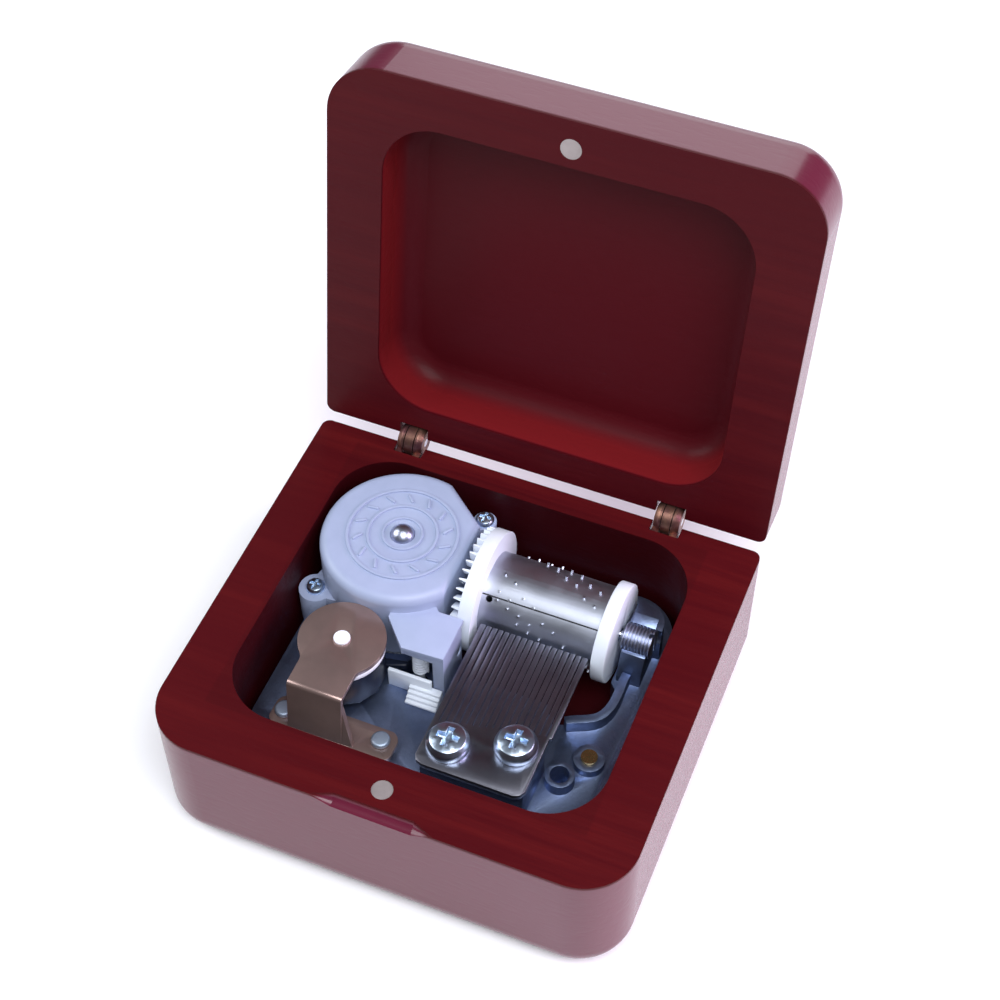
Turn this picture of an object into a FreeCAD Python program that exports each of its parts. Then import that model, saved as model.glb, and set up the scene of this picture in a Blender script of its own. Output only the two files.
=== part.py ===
import FreeCAD, Part
import math
import os

# Wind-up music box with its hinged lid standing open.
# Millimetres. X to the right, Y to the back, Z up.
# The origin is the middle of the flat underside of the wooden case.

V = FreeCAD.Vector

# ---------------------------------------------------------------- wooden case
CASE_W = 70.0
CASE_D = 60.8
BASE_H = 23.2
LID_H = 11.5
LID_GAP = 0.15
FRONT_CORNER_R = 8.0
REAR_CORNER_R = 1.3
SOFT_EDGE_R = 4.2
CAVITY_X = (-27.8, 27.3)
CAVITY_Y = (-21.9, 26.7)
CAVITY_CORNER_R = 8.7
CAVITY_FLOOR = 5.4
POCKET_X = (-26.7, 26.7)
POCKET_Y = (-23.4, 25.0)
POCKET_CORNER_R = 8.5
POCKET_COVE_R = 3.5
POCKET_DEPTH = 8.3
NOTCH_HALF_W = 9.0
NOTCH_STRAIGHT = 5.8
NOTCH_R = 1.4
MAGNET_R = 1.5
MAGNET_LEN = 3.0
BASE_MAGNET_Y = -26.2

# ---------------------------------------------------------------- lid hinges
HINGE_X = 20.5
PIVOT_Y = 31.29
PIVOT_Z = 23.58
OPEN_ANGLE = 99.3
KNUCKLE_R = 2.5
TONGUE_HALF = 0.7
CHEEK_IN = 0.85
CHEEK_OUT = 1.95
HINGE_PIN_R = 0.6
DOWEL_R = 1.3
DOWEL_Y = 28.7
DOWEL_LEN = 6.5
NOTCH_CLEAR = 0.35

# ---------------------------------------------------------------- movement
AXLE_Y = 14.2
AXLE_Z = 16.0
SPRING_X = -14.9
DECK_Z = 10.4
POCKET_FLOOR = 6.6
PLATE_X = (-26.6, 25.8)
PLATE_Y = (-20.8, 25.6)
RUN = 0.05

CYL_R = 6.4
CYL_BORE_R = 5.9
CYL_X = (-0.6, 17.3)
PIN_R = 0.19
PIN_RISE = 0.4
PIN_ROWS = 30
SEAM_ANGLE = 129.0
ARBOR_R = 1.0
PIVOT_R = 0.6
DISC_X = (17.3, 19.4)
DISC_R = 7.55
SCREW_X = (19.95, 24.5)
SCREW_R = 2.2
POST_X = (20.4, 24.0)

# Contrate gear on the cylinder: its teeth point left, a gap faces straight down.
CROWN_TEETH = 40
CROWN_WEB_X = (-2.7, -0.6)
CROWN_TIP_X = -3.9
CROWN_R = 9.4
CROWN_TOOTH_R = (7.4, 9.2)
CROWN_TOOTH_HALF = (0.27, 0.10)

WHEEL_TEETH = 55
WHEEL_R = (10.75, 11.9)
WHEEL_Z = (6.9, 8.5)
WELL_R = 12.5

# Governor: pinion and worm wheel on a cross arbor, upright worm with a fan.
PINION_TEETH = 12
PINION_R = (1.65, 3.0)
PINION_X = (-3.8, -2.9)
PINION_REACH = 11.0
GOV_Z = 15.0
GOV_Y = AXLE_Y - math.sqrt(PINION_REACH ** 2 - (AXLE_Z - GOV_Z) ** 2)
CROSS_R = 0.7
CROSS_X = (-8.1, -1.6)
WORM_WHEEL_TEETH = 24
WORM_WHEEL_R = (1.9, 2.55)
WORM_WHEEL_PITCH_R = 2.3
WORM_WHEEL_X = (-6.8, -5.6)
WORM_X = -6.2
WORM_Y = GOV_Y - 3.2
WORM_CORE_R = 0.55
WORM_TIP_R = 1.2
WORM_PIVOT_R = 0.5
WORM_LEAD = 2.0 * math.pi * WORM_WHEEL_PITCH_R / WORM_WHEEL_TEETH
WORM_Z = (12.0, 17.8)
FAN_R = 2.8
FAN_Z = (7.2, 9.2)

COVER_R = 12.25
COVER_TOP = 23.2
COVER_EDGE_R = 1.5
COVER_FLAT_X = -5.2
COVER_FLAT_EDGE_R = 1.2
BARREL_R = 8.6
BARREL_TOP = 21.6
ROOF_TOP = 20.4
ROOF_SHEET = 0.8
SHAFT_R = 1.8
DOME_RISE = 1.3

COMB_X = (0.3, 16.9)
COMB_Y = (-17.6, 7.25)
COMB_TOP = 17.7
COMB_THICK = 1.0
TOOTH_THICK = 0.6
COMB_TEETH = 18
COMB_SLOT = 0.2
COMB_ROOT_Y = (-10.4, -6.85)
WEIGHTS = 7

STOP_X = -16.2
STOP_Y = -4.4
STOP_PIN_R = 1.2
BRACKET_TOP = 20.6
BRACKET_R = 6.35
BEND_Y = -14.1
BEND_FOOT_Y = -15.5
BEND_X = (-20.3, -11.9)
SHEET = 0.8

# ---------------------------------------------------------------- key and screws
KEY_RECESS_R = 13.0
KEY_RECESS_H = 4.2
KEY_HUB_R = 3.6
MOUNT_SCREWS = ((21.7, -4.7), (21.8, 21.6), (-17.0, -18.2))
MOUNT_TIPS = (DECK_Z + 1.9, DECK_Z - 0.6, DECK_Z - 0.6)
MOUNT_SEAT_Z = 2.4
MOUNT_HEAD_R = 2.3
MOUNT_SHANK_R = 1.2
SPARE_HOLE = (18.9, -9.1)
COMB_SCREWS = ((3.9, -13.4), (12.8, -10.3))
COMB_SCREW_R = 1.5
COVER_SCREWS = ((-25.1, 4.9, 16.5), (-5.9, 24.0, 19.0))
COVER_EAR_R = (2.5, 1.75)
COVER_HEAD_R = 1.4
COVER_SCREW_R = 0.9
COVER_SCREW_TIP = 9.1
RIVETS = ((-21.9, -13.2), (-6.9, -12.8))
RIVET_R = 0.9

# ---------------------------------------------------------------- gear phases
# Turn of the pinion that puts its tooth in the nearest gap of the contrate gear.
CROWN_PITCH = 2.0 * math.pi / CROWN_TEETH
MESH_ANGLE = math.atan2(GOV_Z - AXLE_Z, GOV_Y - AXLE_Y)
GAP_ANGLE = -math.pi / 2 + round((MESH_ANGLE + math.pi / 2) / CROWN_PITCH) * CROWN_PITCH
PINION_TURN = MESH_ANGLE + math.pi + (MESH_ANGLE - GAP_ANGLE) * CROWN_TEETH / PINION_TEETH
# Turn of the worm wheel that puts its tooth half way between two threads.
THREADS_UP = round((GOV_Z - WORM_Z[0]) / WORM_LEAD - 0.75)
TOOTH_Z = WORM_Z[0] + WORM_LEAD * (THREADS_UP + 0.75)
WHEEL_TURN = math.pi + (GOV_Z - TOOTH_Z) / WORM_WHEEL_PITCH_R


# ---------------------------------------------------------------- shape helpers
def box(x, y, z):
    """Box from three (low, high) pairs."""
    size = (x[1] - x[0], y[1] - y[0], z[1] - z[0])
    return Part.makeBox(size[0], size[1], size[2], V(x[0], y[0], z[0]))


def rod(radius, start, end):
    """Round bar between two points."""
    a, b = V(*start), V(*end)
    return Part.makeCylinder(radius, a.distanceToPoint(b), a, b - a)


def ring(outer, inner, start, end):
    """Tube between two points."""
    a, b = V(*start), V(*end)
    run = (b - a).normalize() * 0.01
    hole = rod(inner, tuple(a - run), tuple(b + run))
    return rod(outer, start, end).cut(hole)


def prism(points, z):
    """Upright prism over a plan outline."""
    pts = [V(x, y, z[0]) for x, y in points]
    face = Part.Face(Part.makePolygon(pts + [pts[0]]))
    return face.extrude(V(0, 0, z[1] - z[0]))


def prism_x(points, x):
    """Prism along X over an outline given as (y, z) points."""
    pts = [V(x[0], y, z) for y, z in points]
    face = Part.Face(Part.makePolygon(pts + [pts[0]]))
    return face.extrude(V(x[1] - x[0], 0, 0))


def revolve_z(points, centre):
    """Solid of revolution about an upright axis; points are (radius, z)."""
    pts = [V(centre[0] + r, centre[1], z) for r, z in points]
    face = Part.Face(Part.makePolygon(pts + [pts[0]]))
    return face.revolve(V(centre[0], centre[1], 0), V(0, 0, 1), 360)


def join(shapes):
    """Fuse a list of touching shapes into one solid."""
    shapes = list(shapes)
    whole = shapes[0].multiFuse(shapes[1:]) if len(shapes) > 1 else shapes[0]
    return whole.removeSplitter()


def round_edges(shape, radius, chosen):
    """Fillet the edges that the test picks."""
    edges = [edge for edge in shape.Edges if chosen(edge)]
    return shape.makeFillet(radius, edges)


def near(value, target):
    return abs(value - target) < 1e-4


def upright(edge):
    b = edge.BoundBox
    return near(b.XLength, 0) and near(b.YLength, 0)


def at_level(edge, z):
    b = edge.BoundBox
    return near(b.ZMin, z) and near(b.ZMax, z)


def at_back(edge, y):
    b = edge.BoundBox
    return near(b.YMin, y) and near(b.YMax, y)


def rounded_block(x, y, z, front_r, back_r):
    """Block with rounded upright corners at the front and the back."""
    block = box(x, y, z)
    middle = 0.5 * (y[0] + y[1])
    block = round_edges(block, front_r, lambda e: upright(e) and e.BoundBox.YMax < middle)
    return round_edges(block, back_r, lambda e: upright(e) and e.BoundBox.YMin > middle)


def gear_outline(teeth, root_r, tip_r, root_share, tip_share, turn=0.0):
    """Points of a toothed wheel; the shares are tooth width over pitch."""
    pitch = 2.0 * math.pi / teeth
    points = []
    for i in range(teeth):
        middle = i * pitch + turn
        for radius, half in ((root_r, -root_share), (tip_r, -tip_share),
                             (tip_r, tip_share), (root_r, root_share)):
            angle = middle + 0.5 * half * pitch
            points.append((radius * math.cos(angle), radius * math.sin(angle)))
    return points


def opened(shape):
    """Swing a part of the closed lid to its open rest place."""
    turned = shape.copy()
    turned.rotate(V(0, PIVOT_Y, PIVOT_Z), V(1, 0, 0), -OPEN_ANGLE)
    return turned


# ---------------------------------------------------------------- wooden case
def case_shell(z, soft_z):
    """Outer block of the base or the lid, with one soft-edged face."""
    x = (-CASE_W / 2, CASE_W / 2)
    y = (-CASE_D / 2, CASE_D / 2)
    shell = box(x, y, z)
    shell = round_edges(shell, FRONT_CORNER_R, lambda e: upright(e) and e.BoundBox.YMax < 0)
    shell = round_edges(shell, SOFT_EDGE_R,
                        lambda e: at_level(e, soft_z) and not at_back(e, y[1]))
    crisp_z = z[0] if near(soft_z, z[1]) else z[1]
    return round_edges(shell, REAR_CORNER_R,
                       lambda e: at_back(e, y[1]) and not at_level(e, crisp_z))


def hinge_half(x, inner, outer, low, tongue):
    """Half of a barrel hinge: round knuckle plates, a neck and a dowel."""
    sign = -1.0 if low else 1.0
    spans = [(-outer, outer)] if tongue else [(-outer, -inner), (inner, outer)]
    parts = []
    for a, b in spans:
        plate = rod(KNUCKLE_R, (x + a, PIVOT_Y, PIVOT_Z), (x + b, PIVOT_Y, PIVOT_Z))
        ends = sorted((PIVOT_Z + sign * 0.4, PIVOT_Z + sign * 3.9))
        neck = box((x + a, x + b), (DOWEL_Y - 1.2, DOWEL_Y + 1.2), ends)
        parts += [plate, neck]
    ends = sorted((PIVOT_Z + sign * 2.95, PIVOT_Z + sign * 3.9))
    parts.append(box((x - outer, x + outer), (DOWEL_Y - 1.2, DOWEL_Y + 1.2), ends))
    parts.append(rod(DOWEL_R, (x, DOWEL_Y, ends[0]),
                     (x, DOWEL_Y, ends[0] + sign * DOWEL_LEN + (0.9 if sign > 0 else 0))))
    half = join(parts)
    sweep = Part.makeSphere(KNUCKLE_R + 0.25, V(x, PIVOT_Y, PIVOT_Z))
    keep = box((x - 5, x + 5), (DOWEL_Y - 1.3, DOWEL_Y + 1.3),
               sorted((PIVOT_Z + sign * 0.4, PIVOT_Z + sign * 15)))
    half = half.common(join([sweep, keep]))
    bore = HINGE_PIN_R if low else HINGE_PIN_R + RUN
    return half.cut(rod(bore, (x - 5, PIVOT_Y, PIVOT_Z), (x + 5, PIVOT_Y, PIVOT_Z)))


def hinge_notch(x):
    """Round clearance that the knuckle turns in."""
    r = KNUCKLE_R + NOTCH_CLEAR
    half = CHEEK_OUT + 0.3
    return rod(r, (x - half, PIVOT_Y, PIVOT_Z), (x + half, PIVOT_Y, PIVOT_Z))


def base_box():
    body = case_shell((0, BASE_H), 0.0)
    cavity = rounded_block(CAVITY_X, CAVITY_Y, (CAVITY_FLOOR, BASE_H + 1),
                           CAVITY_CORNER_R, CAVITY_CORNER_R)
    body = body.cut(cavity)
    # Thumb notch: a hollow along the front top edge that runs out at both ends.
    notch = [rod(NOTCH_R, (-NOTCH_STRAIGHT, -CASE_D / 2, BASE_H), (NOTCH_STRAIGHT, -CASE_D / 2, BASE_H))]
    for side in (-1, 1):
        start = V(side * (NOTCH_STRAIGHT - 0.01), -CASE_D / 2, BASE_H)
        notch.append(Part.makeCone(NOTCH_R, 0.05, NOTCH_HALF_W - NOTCH_STRAIGHT, start, V(side, 0, 0)))
    for hollow in notch:
        body = body.cut(hollow)
    body = body.cut(rod(MAGNET_R, (0, BASE_MAGNET_Y, BASE_H - 0.1 - MAGNET_LEN),
                        (0, BASE_MAGNET_Y, BASE_H + 1)))
    body = body.cut(rod(KEY_RECESS_R, (SPRING_X, AXLE_Y, -1), (SPRING_X, AXLE_Y, KEY_RECESS_H)))
    body = body.cut(rod(SHAFT_R + 0.8, (SPRING_X, AXLE_Y, -1), (SPRING_X, AXLE_Y, 10)))
    for x, y in MOUNT_SCREWS:
        body = body.cut(rod(MOUNT_HEAD_R + 0.2, (x, y, -1), (x, y, MOUNT_SEAT_Z)))
        body = body.cut(rod(MOUNT_SHANK_R + 0.1, (x, y, -1), (x, y, 10)))
    for x in (-HINGE_X, HINGE_X):
        body = body.cut(hinge_notch(x))
        body = body.cut(hinge_half(x, CHEEK_IN, CHEEK_OUT, True, False))
    return body


def lid_closed():
    z0 = BASE_H + LID_GAP
    body = case_shell((z0, z0 + LID_H), z0 + LID_H)
    pocket = rounded_block(POCKET_X, POCKET_Y, (z0 - 1, z0 + POCKET_DEPTH),
                           POCKET_CORNER_R, POCKET_CORNER_R)
    pocket = round_edges(pocket, POCKET_COVE_R, lambda e: at_level(e, z0 + POCKET_DEPTH))
    body = body.cut(pocket)
    body = body.cut(lid_magnet_closed())
    for x in (-HINGE_X, HINGE_X):
        body = body.cut(hinge_notch(x))
        body = body.cut(hinge_half(x, 0, TONGUE_HALF, False, True))
    return body


def lid_magnet_closed():
    z0 = BASE_H + LID_GAP
    return rod(MAGNET_R, (0, BASE_MAGNET_Y, z0), (0, BASE_MAGNET_Y, z0 + MAGNET_LEN))


def hinge_pin(x):
    return rod(HINGE_PIN_R, (x - CHEEK_OUT, PIVOT_Y, PIVOT_Z), (x + CHEEK_OUT, PIVOT_Y, PIVOT_Z))


# ---------------------------------------------------------------- screws
def pan_screw(x, y, seat, head_r, head_h, shank_r, tip, slot):
    """Pan-head screw standing upright with a cross recess in its head."""
    head = revolve_z([(0, seat), (head_r, seat), (head_r, seat + head_h * 0.45),
                      (head_r * 0.82, seat + head_h * 0.85), (head_r * 0.4, seat + head_h),
                      (0, seat + head_h)], (x, y))
    screw = join([head, rod(shank_r, (x, y, tip), (x, y, seat + 0.1))])
    for half_x, half_y in ((slot, slot * 0.28), (slot * 0.28, slot)):
        screw = screw.cut(box((x - half_x, x + half_x), (y - half_y, y + half_y),
                              (seat + head_h * 0.45, seat + head_h + 1)))
    return screw


def case_screw(x, y, top):
    """Screw that holds the movement down, driven from under the case."""
    head = rod(MOUNT_HEAD_R, (x, y, 0.7), (x, y, MOUNT_SEAT_Z))
    screw = join([head, rod(MOUNT_SHANK_R, (x, y, 2.0), (x, y, top))])
    for half_x, half_y in ((1.4, 0.35), (0.35, 1.4)):
        screw = screw.cut(box((x - half_x, x + half_x), (y - half_y, y + half_y), (0, 1.5)))
    return screw


def threaded_plug():
    """Threaded bearing screw that carries the right end of the cylinder."""
    turns = 9
    depth = 0.28
    pitch = (SCREW_X[1] - SCREW_X[0]) / turns
    points = [(0.0, SCREW_X[0])]
    for i in range(turns):
        start = SCREW_X[0] + i * pitch
        points += [(SCREW_R - depth, start), (SCREW_R, start + 0.35 * pitch),
                   (SCREW_R, start + 0.6 * pitch)]
    points += [(SCREW_R - depth, SCREW_X[1]), (0.0, SCREW_X[1])]
    pts = [V(x, AXLE_Y + r, AXLE_Z) for r, x in points]
    face = Part.Face(Part.makePolygon(pts + [pts[0]]))
    plug = face.revolve(V(0, AXLE_Y, AXLE_Z), V(1, 0, 0), 360)
    bore = rod(PIVOT_R + RUN, (SCREW_X[0] - 1, AXLE_Y, AXLE_Z), (SCREW_X[0] + 1.4, AXLE_Y, AXLE_Z))
    slot = box((SCREW_X[1] - 0.8, SCREW_X[1] + 1), (AXLE_Y - 0.3, AXLE_Y + 0.3),
               (AXLE_Z - 3, AXLE_Z + 3))
    return plug.cut(bore).cut(slot)


# ---------------------------------------------------------------- bedplate
def bedplate():
    plate = rounded_block(PLATE_X, PLATE_Y, (CAVITY_FLOOR, DECK_Z), 7.0, 7.0)
    plate = plate.cut(rod(WELL_R, (SPRING_X, AXLE_Y, POCKET_FLOOR), (SPRING_X, AXLE_Y, 20)))
    plate = plate.cut(box((-9.0, -4.2), (4.6, 22.0), (POCKET_FLOOR, 20)))
    # Opening under the cylinder, its gear and the front of the comb.
    plate = plate.cut(prism([(-4.3, 4.6), (0.2, 4.6), (0.2, 2.4), (12.5, 2.4), (14.5, -0.6), (16.1, 0.0),
                             (18.0, 1.55), (20.1, 2.6), (21.3, 5.3), (21.3, 7.8), (19.9, 9.4),
                             (19.9, 24.2), (-4.3, 24.2)], (0, 20)))
    plate = plate.cut(rod(FAN_R + 0.5, (WORM_X, WORM_Y, POCKET_FLOOR), (WORM_X, WORM_Y, 20)))
    parts = [plate]
    # Raised land under the comb.
    parts.append(prism([(0.9, -16.6), (16.3, -16.6), (16.3, -8.3), (0.9, -11.9)],
                       (DECK_Z - 1, COMB_TOP - COMB_THICK)))
    # Saddle for the threaded bearing screw, and the tab behind it.
    parts.append(prism_x([(AXLE_Y - 4.4, DECK_Z - 1), (AXLE_Y + 3.4, DECK_Z - 1),
                          (AXLE_Y + 3.4, AXLE_Z + 1.6), (AXLE_Y - 2.6, AXLE_Z - 0.4),
                          (AXLE_Y - 3.6, AXLE_Z - 2.4)], POST_X))
    lug = box((20.1, 25.0), (AXLE_Y + 1.5, AXLE_Y + 6.4), (DECK_Z - 1, 17.0))
    lug = round_edges(lug, 4.0, lambda e: upright(e) and near(e.BoundBox.XMin, 25.0)
                      and near(e.BoundBox.YMin, AXLE_Y + 6.4))
    parts.append(lug)
    parts.append(rod(2.15, SPARE_HOLE + (DECK_Z - 1,), SPARE_HOLE + (DECK_Z + 2.1,)))
    parts.append(rod(2.3, MOUNT_SCREWS[0] + (DECK_Z - 1,), MOUNT_SCREWS[0] + (DECK_Z + 1.5,)))
    # Rounded rib round the front right of the opening, through six points.
    line = Part.BSplineCurve()
    line.interpolate([V(16.5, -0.6, 0), V(18.6, 0.5, 0), V(20.6, 1.7, 0), V(21.7, 4.0, 0),
                      V(21.9, 7.0, 0), V(21.9, 10.2, 0)])
    sides = ([], [])
    for i in range(17):
        at = line.FirstParameter + (line.LastParameter - line.FirstParameter) * i / 16
        point, along = line.value(at), line.tangent(at)[0]
        for side, half in zip(sides, (-0.65, 0.65)):
            side.append((point.x - half * along.y, point.y + half * along.x))
    parts.append(prism(sides[0] + sides[1][::-1], (DECK_Z - 1, DECK_Z + 2.3)))
    # Low wall round the front right corner.
    rim = rounded_block(PLATE_X, PLATE_Y, (DECK_Z - 1, DECK_Z + 1.4), 7.0, 7.0)
    rim = rim.cut(rounded_block((PLATE_X[0] - 9, PLATE_X[1] - 1.2), (PLATE_Y[0] + 1.2, PLATE_Y[1]),
                                (DECK_Z - 2, DECK_Z + 2), 5.8, 5.8))
    parts.append(rim.common(box((16.9, 30), (-30, -7.0), (DECK_Z - 1, DECK_Z + 2))))
    # Pad over the edge of the spring well for the rear cover screw.
    pad_x, pad_y = COVER_SCREWS[1][:2]
    parts.append(rod(2.2, (pad_x, pad_y, WHEEL_Z[1] + 0.4), (pad_x, pad_y, DECK_Z)))
    plate = join(parts)
    plate = plate.cut(rod(SHAFT_R + RUN, (SPRING_X, AXLE_Y, 0), (SPRING_X, AXLE_Y, 9)))
    plate = plate.cut(rod(SCREW_R, (19.0, AXLE_Y, AXLE_Z), (25.5, AXLE_Y, AXLE_Z)))
    plate = plate.cut(box((19.0, 25.5), (AXLE_Y - 6, AXLE_Y + 1.5), (AXLE_Z + 1.5, 30)))
    plate = plate.cut(rod(DISC_R + 0.5, (15, AXLE_Y, AXLE_Z), (19.9, AXLE_Y, AXLE_Z)))
    plate = plate.cut(rod(1.4, SPARE_HOLE + (7.5,), SPARE_HOLE + (20,)))
    for x, y in COMB_SCREWS:
        plate = plate.cut(rod(COMB_SCREW_R, (x, y, 8.0), (x, y, 20)))
    for x, y in MOUNT_SCREWS:
        plate = plate.cut(rod(MOUNT_SHANK_R, (x, y, 0), (x, y, 20)))
    for x, y, seat in COVER_SCREWS:
        plate = plate.cut(rod(COVER_SCREW_R, (x, y, COVER_SCREW_TIP - 0.1), (x, y, 20)))
    for x, y in RIVETS:
        plate = plate.cut(rod(RIVET_R, (x, y, 8.5), (x, y, 20)))
    plate = plate.cut(rod(WORM_PIVOT_R + RUN, (WORM_X, WORM_Y, 5.7), (WORM_X, WORM_Y, 9)))
    return plate.cut(rod(STOP_PIN_R + 0.1, (STOP_X, STOP_Y, 9.4), (STOP_X, STOP_Y, 20)))


# ---------------------------------------------------------------- comb
def comb():
    pitch = (COMB_X[1] - COMB_X[0]) / COMB_TEETH
    left, right = COMB_X
    front, tips = COMB_Y
    jog_y = -7.2
    outline = [(left + 1.4, front), (right - 1.7, front), (right - 0.8, front + 0.4),
               (right - 0.35, front + 1.3), (right - 0.35, jog_y), (right, jog_y), (right, tips),
               (left, tips), (left, front + 1.2), (left + 0.4, front + 0.35)]
    plate = prism(outline, (COMB_TOP - COMB_THICK, COMB_TOP))
    # The teeth are ground thinner than the land they spring from.
    plate = plate.cut(prism([(left - 1, COMB_ROOT_Y[0] - 0.5), (right + 1, COMB_ROOT_Y[1] - 0.3),
                             (right + 1, 10), (left - 1, 10)], (10, COMB_TOP - TOOTH_THICK)))
    for i in range(1, COMB_TEETH):
        x = left + i * pitch
        root = COMB_ROOT_Y[0] + (COMB_ROOT_Y[1] - COMB_ROOT_Y[0]) * i / COMB_TEETH
        plate = plate.cut(box((x - COMB_SLOT / 2, x + COMB_SLOT / 2), (root, 10),
                              (10, COMB_TOP + 1)))
    for x, y in COMB_SCREWS:
        plate = plate.cut(rod(COMB_SCREW_R + 0.1, (x, y, 10), (x, y, 20)))
    return plate


def comb_weights():
    """Lead weights under the long bass teeth, one to a tooth."""
    pitch = (COMB_X[1] - COMB_X[0]) / COMB_TEETH
    top = COMB_TOP - TOOTH_THICK
    blocks = []
    for i in range(WEIGHTS):
        x = COMB_X[0] + (i + 0.5) * pitch
        depth = 2.9 - 0.3 * i
        blocks.append(box((x - 0.3, x + 0.3), (3.0 + 0.25 * i, 5.8), (top - depth, top)))
    return blocks


# ---------------------------------------------------------------- cylinder group
def at_angle(x, radius, degrees):
    """Point at a radius from the cylinder's axis; 0 is back, 90 is up."""
    a = math.radians(degrees)
    return (x, AXLE_Y + radius * math.cos(a), AXLE_Z + radius * math.sin(a))


def sleeve():
    tube = ring(CYL_R, CYL_BORE_R, (CYL_X[0], AXLE_Y, AXLE_Z), (CYL_X[1], AXLE_Y, AXLE_Z))
    start_hole = CYL_X[0] + 1.2
    return tube.cut(rod(0.5, (start_hole, AXLE_Y, AXLE_Z), at_angle(start_hole, CYL_R + 1, SEAM_ANGLE + 4.5)))


def tune_pins():
    """Raised pins, set out row by row in the comb teeth's tracks."""
    pitch = (COMB_X[1] - COMB_X[0]) / COMB_TEETH
    pins = []
    for row in range(PIN_ROWS):
        degrees = 360.0 / PIN_ROWS * row + 5.0
        for tooth in range(COMB_TEETH):
            # A plain scale pattern: a rising run, a falling run and a chord.
            hit = (tooth * 5 + row * 7) % 17 in (0, 3) or (tooth - 2 * row) % 19 == 0
            x = COMB_X[0] + (tooth + 0.5) * pitch
            if not hit or x < CYL_X[0] + 0.5 or x > CYL_X[1] - 0.5:
                continue
            shift = degrees + 2.4 * ((tooth * 3) % 4)
            pins.append(rod(PIN_R, at_angle(x, CYL_BORE_R + 0.1, shift),
                            at_angle(x, CYL_R + PIN_RISE, shift)))
    return pins


def cylinder_gear():
    web = rod(CROWN_R, (CROWN_WEB_X[0], AXLE_Y, AXLE_Z), (CROWN_WEB_X[1], AXLE_Y, AXLE_Z))
    hub = rod(2.3, (CROWN_WEB_X[0] - 0.9, AXLE_Y, AXLE_Z), (CROWN_WEB_X[1], AXLE_Y, AXLE_Z))
    parts = [web, hub]
    for i in range(CROWN_TEETH):
        middle = -math.pi / 2 + (i + 0.5) * CROWN_PITCH
        wires = []
        for x, half in zip((CROWN_WEB_X[0] + 0.1, CROWN_TIP_X), CROWN_TOOTH_HALF):
            inner, outer = CROWN_TOOTH_R
            corners = []
            for radius, side in ((inner, -half), (outer, -half), (outer, half), (inner, half)):
                dy = radius * math.cos(middle) - side * math.sin(middle)
                dz = radius * math.sin(middle) + side * math.cos(middle)
                corners.append(V(x, AXLE_Y + dy, AXLE_Z + dz))
            wires.append(Part.makePolygon(corners + [corners[0]]))
        parts.append(Part.makeLoft(wires, True, True))
    gear = join(parts)
    recess = ring(6.4, 3.0, (CROWN_WEB_X[0] - 0.1, AXLE_Y, AXLE_Z), (CROWN_WEB_X[0] + 0.7, AXLE_Y, AXLE_Z))
    return gear.cut(rod(ARBOR_R, (-8, AXLE_Y, AXLE_Z), (0, AXLE_Y, AXLE_Z))).cut(recess)


def end_disc():
    disc = rod(DISC_R, (DISC_X[0], AXLE_Y, AXLE_Z), (DISC_X[1], AXLE_Y, AXLE_Z))
    return disc.cut(rod(ARBOR_R, (DISC_X[0] - 1, AXLE_Y, AXLE_Z), (DISC_X[1] + 1, AXLE_Y, AXLE_Z)))


def cylinder_arbor():
    shaft = rod(ARBOR_R, (-4.6, AXLE_Y, AXLE_Z), (DISC_X[1], AXLE_Y, AXLE_Z))
    left = rod(PIVOT_R, (-6.2, AXLE_Y, AXLE_Z), (-4.5, AXLE_Y, AXLE_Z))
    right = rod(PIVOT_R, (DISC_X[1] - 0.1, AXLE_Y, AXLE_Z), (SCREW_X[0] + 1.2, AXLE_Y, AXLE_Z))
    return join([shaft, left, right])


# ---------------------------------------------------------------- spring group
def great_wheel():
    # A tooth points straight at the contrate gear's gap.
    points = gear_outline(WHEEL_TEETH, WHEEL_R[0], WHEEL_R[1], 0.42, 0.24)
    wheel = prism([(SPRING_X + x, AXLE_Y + y) for x, y in points], WHEEL_Z)
    wheel = wheel.cut(rod(SHAFT_R + RUN, (SPRING_X, AXLE_Y, 5), (SPRING_X, AXLE_Y, 12)))
    for i in range(5):
        a = 2 * math.pi * (i + 0.5) / 5
        x, y = SPRING_X + 6.6 * math.cos(a), AXLE_Y + 6.6 * math.sin(a)
        wheel = wheel.cut(rod(1.9, (x, y, 5), (x, y, 12)))
    return wheel


def clutch_coil():
    """One-way coil between the great wheel and the winding shaft."""
    rings = []
    for i in range(2):
        z = WHEEL_Z[1] + 0.05 + 0.34 * i
        rings.append(ring(2.55, SHAFT_R + 0.1, (SPRING_X, AXLE_Y, z), (SPRING_X, AXLE_Y, z + 0.3)))
    return rings


def barrel_floor():
    return ring(BARREL_R, 2.9, (SPRING_X, AXLE_Y, 10.8), (SPRING_X, AXLE_Y, 11.5))


def mainspring():
    """Flat spiral of spring strip, hooked at both ends."""
    turns = 9
    start_r, end_r = 2.25, BARREL_R - 0.2
    thick = 0.22
    steps = 24 * turns
    outer, inner = [], []
    for i in range(steps + 1):
        t = i / steps
        a = 2 * math.pi * turns * t
        r = start_r + (end_r - start_r) * t
        for side, line in ((0.5, outer), (-0.5, inner)):
            reach = r + side * thick
            line.append((SPRING_X + reach * math.cos(a), AXLE_Y + reach * math.sin(a)))
    return prism(outer + inner[::-1], (12.0, 20.6))


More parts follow.
